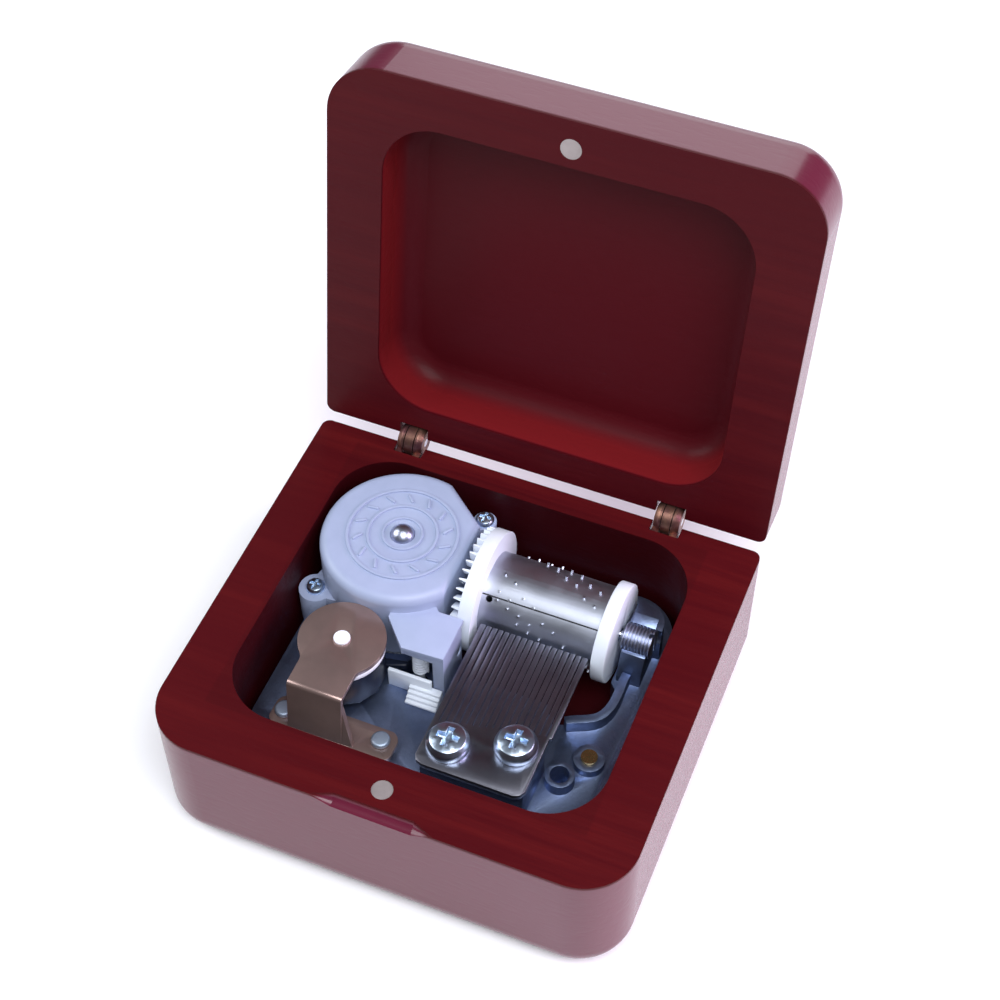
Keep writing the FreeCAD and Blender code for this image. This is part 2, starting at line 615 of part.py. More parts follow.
def spring_arbor():
    """Winding shaft with a domed top end that shows through the cover."""
    shaft = rod(SHAFT_R, (SPRING_X, AXLE_Y, 1.2), (SPRING_X, AXLE_Y, COVER_TOP))
    dome_r = (SHAFT_R ** 2 + DOME_RISE ** 2) / (2 * DOME_RISE)
    ball = Part.makeSphere(dome_r, V(SPRING_X, AXLE_Y, COVER_TOP + DOME_RISE - dome_r))
    reach = (SPRING_X - SHAFT_R, SPRING_X + SHAFT_R)
    cap = ball.common(box(reach, (AXLE_Y - SHAFT_R, AXLE_Y + SHAFT_R), (COVER_TOP, COVER_TOP + 2)))
    return join([shaft, cap])


def winding_key():
    """Low two-winged key that lies in the recess under the case."""
    parts = [rod(KEY_HUB_R, (SPRING_X, AXLE_Y, 1.0), (SPRING_X, AXLE_Y, 4.0))]
    wing_z = (1.2, 2.9)
    for side in (-1, 1):
        x = SPRING_X + side * 7.2
        wing = rod(4.0, (x, AXLE_Y, wing_z[0]), (x, AXLE_Y, wing_z[1]))
        parts.append(wing.cut(rod(1.7, (x, AXLE_Y, 0), (x, AXLE_Y, 4))))
        arm_x = sorted((SPRING_X + side * 2.5, SPRING_X + side * 4.6))
        parts.append(box(arm_x, (AXLE_Y - 1.8, AXLE_Y + 1.8), wing_z))
    return join(parts).cut(rod(SHAFT_R, (SPRING_X, AXLE_Y, 0), (SPRING_X, AXLE_Y, 5)))


def spring_cover():
    """Plastic spring case with the governor's housing moulded on."""
    drum = rod(COVER_R, (SPRING_X, AXLE_Y, DECK_Z), (SPRING_X, AXLE_Y, COVER_TOP))
    drum = round_edges(drum, COVER_EDGE_R, lambda e: at_level(e, COVER_TOP))
    # Flat beside the cylinder gear and a chord at the rear right corner.
    sides = prism([(-30, -5), (COVER_FLAT_X, -5), (COVER_FLAT_X, 20.4), (-12.2, 26.2),
                   (-12.2, 30), (-30, 30)], (0, COVER_TOP))
    sides = round_edges(sides, COVER_FLAT_EDGE_R, lambda e: at_level(e, COVER_TOP) and
                        e.BoundBox.XMin > -12.3 and e.BoundBox.YMax < 27)
    drum = drum.common(sides)
    parts = [drum]
    # Screw posts that stand on the bedplate, and the web of the left one.
    for (x, y, top), radius in zip(COVER_SCREWS, COVER_EAR_R):
        parts.append(rod(radius, (x, y, DECK_Z), (x, y, top)))
    parts.append(prism([(-6.8, 24.8), (-5.0, 23.2), (-6.9, 20.9), (-8.7, 22.5)],
                       (DECK_Z, COVER_SCREWS[1][2])))
    ear_x, ear_y, ear_top = COVER_SCREWS[0]
    parts.append(prism([(ear_x - 0.8, ear_y + 2.3), (ear_x + 2.3, ear_y - 1.2), (-17.5, 4.0),
                        (-17.5, 12.0), (-25.0, 12.0)], (ear_top - 1.5, ear_top)))
    # Governor housing: roof, right wall, front lintel, corner post and left skirt.
    roof = [(-6.8, 12.0), (-6.8, 6.6), (-5.3, 5.1), (-1.5, 5.1), (-1.5, -2.3), (-7.8, -2.6),
            (-11.7, 1.7), (-11.8, 3.4), (-13.3, 5.0), (-13.0, 12.0)]
    parts.append(prism(roof, (ROOF_TOP - ROOF_SHEET, ROOF_TOP)))
    parts.append(box((-2.2, -1.5), (-2.3, 4.3), (DECK_Z, ROOF_TOP)))
    parts.append(box((-7.8, -1.5), (-2.3, -1.5), (18.5, ROOF_TOP)))
    parts.append(box((-3.2, -1.5), (-2.3, -1.5), (DECK_Z, ROOF_TOP)))
    parts.append(prism([(-7.8, -2.6), (-7.1, -2.0), (-10.9, 2.1), (-10.9, 3.4), (-11.8, 3.4),
                        (-11.7, 1.7)], (18.8, ROOF_TOP)))
    # Carrier for the left end of the governor's cross arbor.
    parts.append(box((-8.2, -7.3), (GOV_Y - 1.4, GOV_Y + 2.2), (GOV_Z - 1.4, ROOF_TOP)))
    cover = join(parts)
    cavity = rod(BARREL_R, (SPRING_X, AXLE_Y, 5), (SPRING_X, AXLE_Y, BARREL_TOP))
    cover = cover.cut(cavity)
    cover = cover.cut(rod(SHAFT_R + RUN, (SPRING_X, AXLE_Y, 5), (SPRING_X, AXLE_Y, 30)))
    cover = cover.cut(rod(PIVOT_R + RUN, (-8, AXLE_Y, AXLE_Z), (-5, AXLE_Y, AXLE_Z)))
    cover = cover.cut(rod(CROSS_R + RUN, (-9.5, GOV_Y, GOV_Z), (-1, GOV_Y, GOV_Z)))
    # Room for the worm wheel beside the drum wall.
    cover = cover.cut(rod(WORM_WHEEL_R[1] + 0.35, (WORM_WHEEL_X[0] - 0.35, GOV_Y, GOV_Z),
                          (WORM_WHEEL_X[1] + 0.35, GOV_Y, GOV_Z)))
    cover = cover.cut(rod(WORM_PIVOT_R + RUN, (WORM_X, WORM_Y, 15), (WORM_X, WORM_Y, 20.0)))
    for x, y, seat in COVER_SCREWS:
        cover = cover.cut(rod(COVER_SCREW_R, (x, y, 5), (x, y, seat)))
        cover = cover.cut(rod(COVER_HEAD_R + 0.2, (x, y, seat), (x, y, 30)))
    return cover


def governor_foot():
    """Low pale wall in front of the worm, with stepped plates at its right end."""
    parts = [box((-10.1, -3.3), (-3.0, -2.4), (DECK_Z, 14.2))]
    for i in range(4):
        parts.append(box((-6.6, -1.7), (-5.2 + 0.55 * i, -2.4), (DECK_Z, DECK_Z + 0.5 + 0.5 * i)))
    return join(parts)


# ---------------------------------------------------------------- governor
def cross_arbor():
    return rod(CROSS_R, (CROSS_X[0], GOV_Y, GOV_Z), (CROSS_X[1], GOV_Y, GOV_Z))


def cross_wheel(teeth, radii, x, root_share, tip_share, turn):
    points = gear_outline(teeth, radii[0], radii[1], root_share, tip_share, turn)
    wheel = prism_x([(GOV_Y + a, GOV_Z + b) for a, b in points], x)
    return wheel.cut(rod(CROSS_R, (x[0] - 1, GOV_Y, GOV_Z), (x[1] + 1, GOV_Y, GOV_Z)))


def worm():
    """Upright worm with pivots at both ends."""
    core = rod(WORM_CORE_R, (WORM_X, WORM_Y, FAN_Z[1] + 0.1), (WORM_X, WORM_Y, 18.9))
    low = rod(WORM_PIVOT_R, (WORM_X, WORM_Y, 5.9), (WORM_X, WORM_Y, FAN_Z[1] + 0.2))
    high = rod(WORM_PIVOT_R, (WORM_X, WORM_Y, 18.8), (WORM_X, WORM_Y, 19.9))
    path = Part.makeHelix(WORM_LEAD, WORM_Z[1] - WORM_Z[0], WORM_CORE_R)
    path.translate(V(WORM_X, WORM_Y, WORM_Z[0]))
    base, tip, inner = 0.17, 0.06, WORM_CORE_R - 0.15
    corners = ((inner, -base), (WORM_TIP_R, -tip), (WORM_TIP_R, tip), (inner, base))
    pts = [V(WORM_X + r, WORM_Y, WORM_Z[0] + z) for r, z in corners]
    section = Part.makePolygon(pts + [pts[0]])
    thread = Part.Wire(path.Edges).makePipeShell([section], True, True)
    return join([core, low, high, thread])


def fan():
    hub = rod(1.0, (WORM_X, WORM_Y, FAN_Z[0]), (WORM_X, WORM_Y, FAN_Z[1]))
    blades = box((WORM_X - FAN_R + 0.1, WORM_X + FAN_R - 0.1), (WORM_Y - 0.3, WORM_Y + 0.3), FAN_Z)
    whole = join([hub, blades])
    return whole.cut(rod(WORM_PIVOT_R, (WORM_X, WORM_Y, 5), (WORM_X, WORM_Y, 15)))


# ---------------------------------------------------------------- stop device
def stop_bracket():
    """Bent sheet: a round tongue over the stop, a front wall and a riveted foot."""
    top_z = (BRACKET_TOP - SHEET, BRACKET_TOP)
    right = BEND_X[1]
    disc = rod(BRACKET_R, (STOP_X, STOP_Y, top_z[0]), (STOP_X, STOP_Y, top_z[1]))
    tongue = join([disc, box(BEND_X, (BEND_Y, STOP_Y), top_z)])
    tongue = round_edges(tongue, 1.8, lambda e: upright(e) and BEND_Y + 1 < e.BoundBox.YMin < STOP_Y - 1)
    wall = prism_x([(BEND_FOOT_Y, DECK_Z), (BEND_FOOT_Y + SHEET, DECK_Z), (BEND_Y + SHEET, BRACKET_TOP),
                    (BEND_Y, BRACKET_TOP)], BEND_X)
    corners = [V(right - 0.1, BEND_Y, 18.0), V(right + 1.9, BEND_FOOT_Y, DECK_Z),
               V(right - 0.1, BEND_FOOT_Y, DECK_Z)]
    flare = Part.Face(Part.makePolygon(corners + [corners[0]])).extrude(V(0, SHEET, 0))
    foot = rounded_block((-23.6, -4.6), (BEND_FOOT_Y, -10.7), (DECK_Z, DECK_Z + SHEET), 1.0, 1.6)
    bracket = join([tongue, wall, flare, foot])
    bracket = round_edges(bracket, 0.7, lambda e: near(e.BoundBox.ZMin, BRACKET_TOP)
                          and near(e.BoundBox.YMin, BEND_Y) and near(e.BoundBox.YMax, BEND_Y))
    bracket = bracket.cut(rod(STOP_PIN_R, (STOP_X, STOP_Y, 15), (STOP_X, STOP_Y, 30)))
    for x, y in RIVETS:
        bracket = bracket.cut(rod(RIVET_R, (x, y, 10), (x, y, 13)))
    return bracket


def rivet(x, y):
    z = DECK_Z + SHEET
    head = revolve_z([(0, z), (1.4, z), (1.4, z + 0.55), (1.15, z + 0.8), (0, z + 0.8)], (x, y))
    return join([head, rod(RIVET_R, (x, y, 8.6), (x, y, z + 0.1))])


def stop_post():
    """White pin that the stop lever turns on."""
    top = rod(STOP_PIN_R, (STOP_X, STOP_Y, 11.0), (STOP_X, STOP_Y, BRACKET_TOP + 0.25))
    return join([top, rod(STOP_PIN_R + 0.1, (STOP_X, STOP_Y, 9.5), (STOP_X, STOP_Y, DECK_Z + 0.3)),
                 rod(STOP_PIN_R, (STOP_X, STOP_Y, DECK_Z), (STOP_X, STOP_Y, 11.5))])


def stop_lever():
    """Faceted dark cup with an arm that reaches the governor's worm."""
    rings = ((4.8, 10.9), (6.0, 12.3), (6.0, 18.2))
    parts = []
    for (r0, z0), (r1, z1) in zip(rings[:-1], rings[1:]):
        wires = []
        for r, z in ((r0, z0), (r1, z1)):
            pts = []
            for k in range(12):
                a = math.radians(30 * k + 15)
                pts.append(V(STOP_X + r * math.cos(a), STOP_Y + r * math.sin(a), z))
            wires.append(Part.makePolygon(pts + [pts[0]]))
        parts.append(Part.makeLoft(wires, True, True))
    parts.append(prism([(-11.8, -2.5), (-10.4, -1.95), (-8.0, -1.0), (-8.0, -0.2), (-11.6, -0.9)],
                       (12.6, 13.6)))
    lever = join(parts)
    lever = lever.cut(rod(2.9, (STOP_X, STOP_Y, 14.2), (STOP_X, STOP_Y, 17.4)))
    return lever.cut(rod(STOP_PIN_R + RUN, (STOP_X, STOP_Y, 10), (STOP_X, STOP_Y, 20)))


def stop_disc():
    return ring(6.2, STOP_PIN_R + RUN, (STOP_X, STOP_Y, 18.5), (STOP_X, STOP_Y, 19.3))


def stop_magnet():
    return ring(2.8, STOP_PIN_R + RUN, (STOP_X, STOP_Y, 14.3), (STOP_X, STOP_Y, 17.3))


# ---------------------------------------------------------------- write the nodes
def write(node, shapes):
    """One STEP file for a node, checked to be closed and valid."""
    shapes = shapes if isinstance(shapes, list) else [shapes]
    solids = [solid for shape in shapes for solid in shape.Solids]
    for solid in solids:
        if not (solid.isValid() and solid.isClosed() and solid.Volume > 0):
            print("CHECK", node, solid.isValid(), solid.isClosed(), solid.Volume)
    whole = solids[0] if len(solids) == 1 else Part.makeCompound(solids)
    whole.exportStep(os.path.join("parts", node + ".step"))
    print(f"{node:22s} solids {len(solids):3d}  volume {sum(s.Volume for s in solids):9.2f}")


def main():
    os.makedirs("parts", exist_ok=True)
    both = (-HINGE_X, HINGE_X)
    write("base_box", base_box())
    write("base_magnet", rod(MAGNET_R, (0, BASE_MAGNET_Y, BASE_H - 0.1 - MAGNET_LEN),
                             (0, BASE_MAGNET_Y, BASE_H - 0.1)))
    write("hinge_base_forks", [hinge_half(x, CHEEK_IN, CHEEK_OUT, True, False) for x in both])
    write("hinge_pins", [hinge_pin(x) for x in both])
    write("lid", opened(lid_closed()))
    write("lid_magnet", opened(lid_magnet_closed()))
    write("hinge_lid_tongues", [opened(hinge_half(x, 0, TONGUE_HALF, False, True)) for x in both])
    write("bedplate", bedplate())
    write("case_screws", [case_screw(x, y, top) for (x, y), top in zip(MOUNT_SCREWS, MOUNT_TIPS)])
    write("comb", comb())
    write("comb_screws", [pan_screw(x, y, COMB_TOP, 3.1, 2.2, COMB_SCREW_R, 8.2, 1.6)
                          for x, y in COMB_SCREWS])
    write("comb_weights", comb_weights())
    write("cylinder_sleeve", sleeve())
    write("cylinder_pins", tune_pins())
    write("cylinder_gear", cylinder_gear())
    write("cylinder_end_disc", end_disc())
    write("cylinder_arbor", cylinder_arbor())
    write("bearing_screw", threaded_plug())
    write("spring_cover", spring_cover())
    write("cover_screws", [pan_screw(x, y, z, COVER_HEAD_R, 1.0, COVER_SCREW_R, COVER_SCREW_TIP, 0.9)
                           for x, y, z in COVER_SCREWS])
    write("mainspring", mainspring())
    write("barrel_floor", barrel_floor())
    write("spring_arbor", spring_arbor())
    write("winding_key", winding_key())
    write("great_wheel", great_wheel())
    write("clutch_coil", clutch_coil())
    write("governor_arbor", cross_arbor())
    write("governor_pinion", cross_wheel(PINION_TEETH, PINION_R, PINION_X, 0.36, 0.22, PINION_TURN))
    write("worm_wheel", cross_wheel(WORM_WHEEL_TEETH, WORM_WHEEL_R, WORM_WHEEL_X, 0.4, 0.2, WHEEL_TURN))
    write("governor_worm", worm())
    write("air_brake_fan", fan())
    write("governor_foot", governor_foot())
    write("stop_bracket", stop_bracket())
    write("bracket_rivets", [rivet(x, y) for x, y in RIVETS])
    write("stop_post", stop_post())
    write("stop_lever", stop_lever())
    write("stop_disc", stop_disc())
    write("stop_magnet", stop_magnet())


if __name__ == "__main__":
    main()
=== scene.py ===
# %% [markdown]
# # A wind-up music box, finished in Blender
# The solid model comes first. Every part of it already sits in its real place, in metres, so this lesson
# never moves one. It gives each part the surface it has on the bench, and models by hand the small things
# a solid model leaves plain: soft edges, the pattern on the cover, the seam of the cylinder.

# %% Load the solid model
import math
import bmesh
import bpy
from mathutils import Matrix, Vector


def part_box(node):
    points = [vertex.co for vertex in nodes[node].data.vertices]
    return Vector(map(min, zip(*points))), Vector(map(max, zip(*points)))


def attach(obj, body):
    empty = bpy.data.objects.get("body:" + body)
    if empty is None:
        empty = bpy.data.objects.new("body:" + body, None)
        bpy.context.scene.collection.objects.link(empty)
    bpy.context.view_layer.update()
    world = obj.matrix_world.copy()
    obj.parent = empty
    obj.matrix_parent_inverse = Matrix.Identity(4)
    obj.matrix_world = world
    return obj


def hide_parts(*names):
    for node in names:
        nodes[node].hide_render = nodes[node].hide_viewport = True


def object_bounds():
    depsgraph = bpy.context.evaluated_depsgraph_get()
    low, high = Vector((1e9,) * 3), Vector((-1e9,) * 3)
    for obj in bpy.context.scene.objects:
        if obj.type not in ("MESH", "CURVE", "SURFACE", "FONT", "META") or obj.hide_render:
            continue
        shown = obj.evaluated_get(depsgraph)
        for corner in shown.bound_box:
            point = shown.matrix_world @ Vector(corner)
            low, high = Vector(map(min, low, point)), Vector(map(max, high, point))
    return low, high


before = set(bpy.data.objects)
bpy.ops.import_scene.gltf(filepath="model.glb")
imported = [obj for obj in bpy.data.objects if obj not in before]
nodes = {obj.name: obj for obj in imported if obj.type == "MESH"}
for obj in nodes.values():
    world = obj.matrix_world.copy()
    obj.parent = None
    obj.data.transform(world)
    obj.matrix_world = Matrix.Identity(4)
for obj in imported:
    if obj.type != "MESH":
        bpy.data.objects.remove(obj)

size_at_start = [list(corner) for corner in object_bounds()]
MM = 0.001
print("parts:", len(nodes), "size in mm:", [round((b - a) / MM, 1) for a, b in zip(*size_at_start)])

# %% [markdown]
# The key places of the movement are read from the parts themselves: the cylinder's axle and its size, the
# spring drum's axle and the top of its cover. Everything added later hangs on these.

# %% Places that the details hang on


def middle(node):
    """Centre of a part's box."""
    low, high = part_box(node)
    return (low + high) / 2


def top_of(node):
    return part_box(node)[1].z


AXLE = middle("cylinder_sleeve")
SLEEVE_LOW, SLEEVE_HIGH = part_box("cylinder_sleeve")
SLEEVE_R = (SLEEVE_HIGH.z - SLEEVE_LOW.z) / 2
SPRING = middle("spring_arbor")
COVER_TOP = top_of("spring_cover")
HINGE_LINE = middle("hinge_pins")
print("cylinder axle", [round(v / MM, 2) for v in AXLE], "radius", round(SLEEVE_R / MM, 2))

# %% [markdown]
# ## Camera
# Product pictures of a small box are taken from above, a little to the right, with a longish lens, so that
# the box keeps its shape and the works inside can be seen. A long lens from further away flattens
# perspective; a short one close by would make the front corner loom.

# %% Camera
CAMERA_AT = Vector((65.4, -144.4, 250.3)) * MM
VIEW_LINE = Vector((-0.23789, 0.58173, -0.77781))
CAMERA_ROLL = -0.004
LENS = 70.8

camera_data = bpy.data.cameras.new("camera")
camera_data.lens = LENS
camera_data.sensor_width = 36
camera_data.clip_start = 0.01
camera = bpy.data.objects.new("camera", camera_data)
bpy.context.scene.collection.objects.link(camera)
camera.location = CAMERA_AT
turn = VIEW_LINE.to_track_quat("-Z", "Y").to_matrix() @ Matrix.Rotation(CAMERA_ROLL, 3, "Z")
camera.rotation_euler = turn.to_euler()
bpy.context.scene.camera = camera
print("camera looks down at", round(math.degrees(math.asin(-VIEW_LINE.z)), 1), "degrees")

# %% [markdown]
# ## Light and floor
# Lacquer and polished steel show what stands around them. A dim room keeps the lacquer deep red, and a
# bright white floor lights the box's sides from below, as a white table does. Large soft lamps in front
# and to the sides draw broad, soft highlights; one straight above would haze every flat top. The plain
# "Standard" view is chosen because it keeps a saturated red red, and lets the white table go fully white.

# %% Light and floor
FLOOR_HALF = 1.5
FLOOR_WHITE = (0.95, 0.95, 0.96, 1)
bpy.context.scene.view_settings.view_transform = "Standard"


def lamp(name, place, aim, size, watts, colour=(1, 1, 1)):
    """Square soft lamp at a place, turned to its aim."""
    light = bpy.data.lights.new(name, "AREA")
    light.size = size
    light.energy = watts
    light.color = colour
    holder = bpy.data.objects.new(name, light)
    bpy.context.scene.collection.objects.link(holder)
    holder.location = place
    holder.rotation_euler = (Vector(aim) - Vector(place)).to_track_quat("-Z", "Y").to_euler()
    return holder


COOL = (0.93, 0.96, 1.0)
lamps = [
    lamp("key_lamp", (0.25, -0.30, 0.75), (0, 0, 0.02), 0.55, 7.2, COOL),
    lamp("left_lamp", (-0.75, -0.15, 0.55), (0, 0, 0.02), 0.6, 5.6, COOL),
    lamp("right_lamp", (0.85, 0.25, 0.40), (0, 0, 0.02), 0.6, 8.2, (0.95, 0.77, 1.0)),
    lamp("back_lamp", (-0.1, 0.95, 0.35), (0, 0, 0.05), 0.6, 2.6, COOL),
]

bpy.ops.mesh.primitive_plane_add(size=2 * FLOOR_HALF, location=(0, 0, size_at_start[0][2]))
floor = bpy.context.active_object
floor.name = "floor"

world = bpy.data.worlds.new("studio")
world.use_nodes = True
bpy.context.scene.world = world
world.node_tree.nodes["Background"].inputs["Color"].default_value = (0.82, 0.86, 1.0, 1)
world.node_tree.nodes["Background"].inputs["Strength"].default_value = 0.07
print("lamps:", [one.name for one in lamps])

# %% [markdown]
# ## Shared surface effects
# Three effects turn up on more than one finish: the even grain of a casting or a satin coat, the fine
# brush lines of drawn steel, and the pores and flow of grain under lacquer. Each is a small node group
# that gives out a height or a mask, so that the shader itself stays in its own material.

# %% Node group helpers


def new_group(name, inputs, outputs):
    """Empty shader group with named number sockets."""
    group = bpy.data.node_groups.new(name, "ShaderNodeTree")
    for label, value in inputs.items():
        socket = group.interface.new_socket(label, in_out="INPUT", socket_type="NodeSocketFloat")
        socket.default_value = value
    for label in outputs:
        group.interface.new_socket(label, in_out="OUTPUT", socket_type="NodeSocketFloat")
    return group, group.nodes.new("NodeGroupInput"), group.nodes.new("NodeGroupOutput")


def noise(tree, vector, scale, detail=3.0, roughness=0.55):
    node = tree.nodes.new("ShaderNodeTexNoise")
    node.inputs["Detail"].default_value = detail
    node.inputs["Roughness"].default_value = roughness
    if isinstance(scale, (int, float)):
        node.inputs["Scale"].default_value = scale
    else:
        tree.links.new(scale, node.inputs["Scale"])
    tree.links.new(vector, node.inputs["Vector"])
    return node.outputs["Fac"]


def stretched(tree, scales):
    """Object coordinates squeezed along some axes, which draws a pattern out along the others."""
    place = tree.nodes.new("ShaderNodeTexCoord")
    mapping = tree.nodes.new("ShaderNodeMapping")
    mapping.inputs["Scale"].default_value = scales
    tree.links.new(place.outputs["Object"], mapping.inputs["Vector"])
    return mapping.outputs["Vector"]


def levels(tree, value, low, high, to_low=0.0, to_high=1.0):
    """Map Range node: the part of a value between two levels, spread out."""
    node = tree.nodes.new("ShaderNodeMapRange")
    for label, number in zip(("From Min", "From Max", "To Min", "To Max"), (low, high, to_low, to_high)):
        node.inputs[label].default_value = number
    tree.links.new(value, node.inputs["Value"])
    return node.outputs["Result"]


print("helpers ready")

# %% Grain of a casting, brushed lines and lacquered wood


def make_cast_grain():
    group, start, end = new_group("cast_grain", {"Scale": 3000.0}, ["Height", "Mask"])
    place = stretched(group, (1, 1, 1))
    group.links.new(noise(group, place, start.outputs["Scale"]), end.inputs["Height"])
    group.links.new(levels(group, noise(group, place, 350.0), 0.35, 0.7), end.inputs["Mask"])
    return group


def make_brushed():
    group, start, end = new_group("brushed_lines", {"Scale": 900.0}, ["Height", "Mask"])
    place = stretched(group, (0.06, 1, 1))
    group.links.new(noise(group, place, start.outputs["Scale"], 4.0), end.inputs["Height"])
    wide = noise(group, stretched(group, (1, 1, 1)), 260.0)
    group.links.new(levels(group, wide, 0.35, 0.68), end.inputs["Mask"])
    return group


def make_wood():
    group, _, end = new_group("wood_under_lacquer", {"Scale": 1.0}, ["Height", "Mask", "Lines"])
    along = stretched(group, (0.045, 1, 1))
    lines = noise(group, along, 520.0, 5.0, 0.65)
    group.links.new(levels(group, lines, 0.38, 0.66), end.inputs["Lines"])
    clouds = noise(group, stretched(group, (0.3, 1, 1)), 55.0, 3.0)
    group.links.new(levels(group, clouds, 0.32, 0.7), end.inputs["Mask"])
    pores = noise(group, stretched(group, (0.35, 1, 1)), 950.0, 2.0)
    group.links.new(levels(group, pores, 0.30, 0.52), end.inputs["Height"])
    return group


CAST_GRAIN = make_cast_grain()
BRUSHED = make_brushed()
WOOD = make_wood()
print("groups:", CAST_GRAIN.name, BRUSHED.name, WOOD.name)

# %% [markdown]
# ## Finishes
# Every finish starts from the same few numbers: colour, how metallic, how rough, how thick the clear coat.
# A helper sets those on the shader, and can add a fine bump and a gentle change of colour from one of the
# groups. Two tones that differ only a little already stop a plain plastic from looking like a drawing.

# %% The helper for finishes
FINISHES = {}


def finish(name, colour, metal=0.0, rough=0.4, coat=0.0, coat_rough=0.1, group=None, scale=None,
           bump=0.0, second=None, specular=0.5, rough_low=None):
    """A material with a plain shader, or with one of the shared groups under it."""
    material = bpy.data.materials.new(name)
    material.use_nodes = True
    tree = material.node_tree
    shader = tree.nodes["Principled BSDF"]
    shader.inputs["Base Color"].default_value = (*colour, 1)
    shader.inputs["Metallic"].default_value = metal
    shader.inputs["Roughness"].default_value = rough
    shader.inputs["Coat Weight"].default_value = coat
    shader.inputs["Coat Roughness"].default_value = coat_rough
    shader.inputs["Specular IOR Level"].default_value = specular
    if group:
        effect = tree.nodes.new("ShaderNodeGroup")
        effect.node_tree = group
        if scale:
            effect.inputs["Scale"].default_value = scale
        if bump:
            node = tree.nodes.new("ShaderNodeBump")
            node.inputs["Strength"].default_value = bump
            node.inputs["Distance"].default_value = 0.00008
            tree.links.new(effect.outputs["Height"], node.inputs["Height"])
            tree.links.new(node.outputs["Normal"], shader.inputs["Normal"])
        if second:
            mix = tree.nodes.new("ShaderNodeMix")
            mix.data_type = "RGBA"
            mix.inputs["A"].default_value = (*colour, 1)
            mix.inputs["B"].default_value = (*second, 1)
            tree.links.new(effect.outputs["Mask"], mix.inputs["Factor"])
            tree.links.new(mix.outputs["Result"], shader.inputs["Base Color"])
        if rough_low is not None:
            spread = levels(tree, effect.outputs["Mask"], 0.0, 1.0, rough_low, rough)
            tree.links.new(spread, shader.inputs["Roughness"])
    FINISHES[name] = material
    return material


print("finish helper ready")

# %% [markdown]
# ### Lacquered wood
# The case is wood under many coats of dark red lacquer. The grain only just shows, as faint darker lines,
# and the pores leave a pebbled skin in the gloss. The outside faces take a lighter, purplish red, a painted
# sheen for the lilac reflections on the lacquered sides. The hollows carry painted light and shade: the
# case's well is a near-black red for shade, the walls of the lid's hollow a brighter red for the light on
# them, and the floor of the lid's hollow takes a red of its own. The thick clear coat is on the outside only,
# where it gives the bright sides when seen at a slant; the rims and hollows stay satin. One mask of the
# object's own coordinates tells outside from inside. The lid's is measured as if the lid were shut, so both
# use the same planes.

# %% Lacquered wood


def within(tree, place, axis, low, high, soft=0.0004):
    """1 between two places on one axis (0 X, 1 Y, 2 Z), fading over a short way at each end."""
    split = tree.nodes.new("ShaderNodeSeparateXYZ")
    tree.links.new(place, split.inputs["Vector"])
    value = split.outputs[axis]
    return times(tree, levels(tree, value, low - soft, low), levels(tree, value, high, high + soft, 1.0, 0.0))


def in_block(tree, place, block):
    """1 inside a block given by its ranges of X, Y and Z."""
    flat = times(tree, within(tree, place, 0, *block[0]), within(tree, place, 1, *block[1]))
    return times(tree, flat, within(tree, place, 2, *block[2]))


def turned_place(tree, degrees, pivot):
    """Object coordinates turned about a line along X, so that the open lid is measured as if shut."""
    place = tree.nodes.new("ShaderNodeTexCoord")
    mapping = tree.nodes.new("ShaderNodeMapping")
    mapping.inputs["Rotation"].default_value = (math.radians(degrees), 0, 0)
    mapping.inputs["Location"].default_value = pivot - Matrix.Rotation(math.radians(degrees), 3, "X") @ pivot
    tree.links.new(place.outputs["Object"], mapping.inputs["Vector"])
    return mapping.outputs["Vector"]


def times(tree, first, second):
    node = tree.nodes.new("ShaderNodeMath")
    node.operation = "MULTIPLY"
    tree.links.new(first, node.inputs[0])
    tree.links.new(second, node.inputs[1])
    return node.outputs["Value"]


def larger(tree, first, second):
    node = tree.nodes.new("ShaderNodeMath")
    node.operation = "MAXIMUM"
    tree.links.new(first, node.inputs[0])
    tree.links.new(second, node.inputs[1])
    return node.outputs["Value"]


def blend(tree, factor, first, second):
    """Mix two colours, each a colour or a socket."""
    mix = tree.nodes.new("ShaderNodeMix")
    mix.data_type = "RGBA"
    tree.links.new(factor, mix.inputs["Factor"])
    for label, value in (("A", first), ("B", second)):
        if isinstance(value, tuple):
            mix.inputs[label].default_value = (*value, 1)
        else:
            tree.links.new(value, mix.inputs[label])
    return mix.outputs["Result"]


LACQUER_IOR = 1.55
COAT_OUTSIDE, COAT_INSIDE = 0.7, 0.03
RIM_BAND = 0.3 * MM
FLOOR_FROM, FLOOR_FADE = 1.2 * MM, 2.5 * MM
LACQUER_BUMP = 0.35


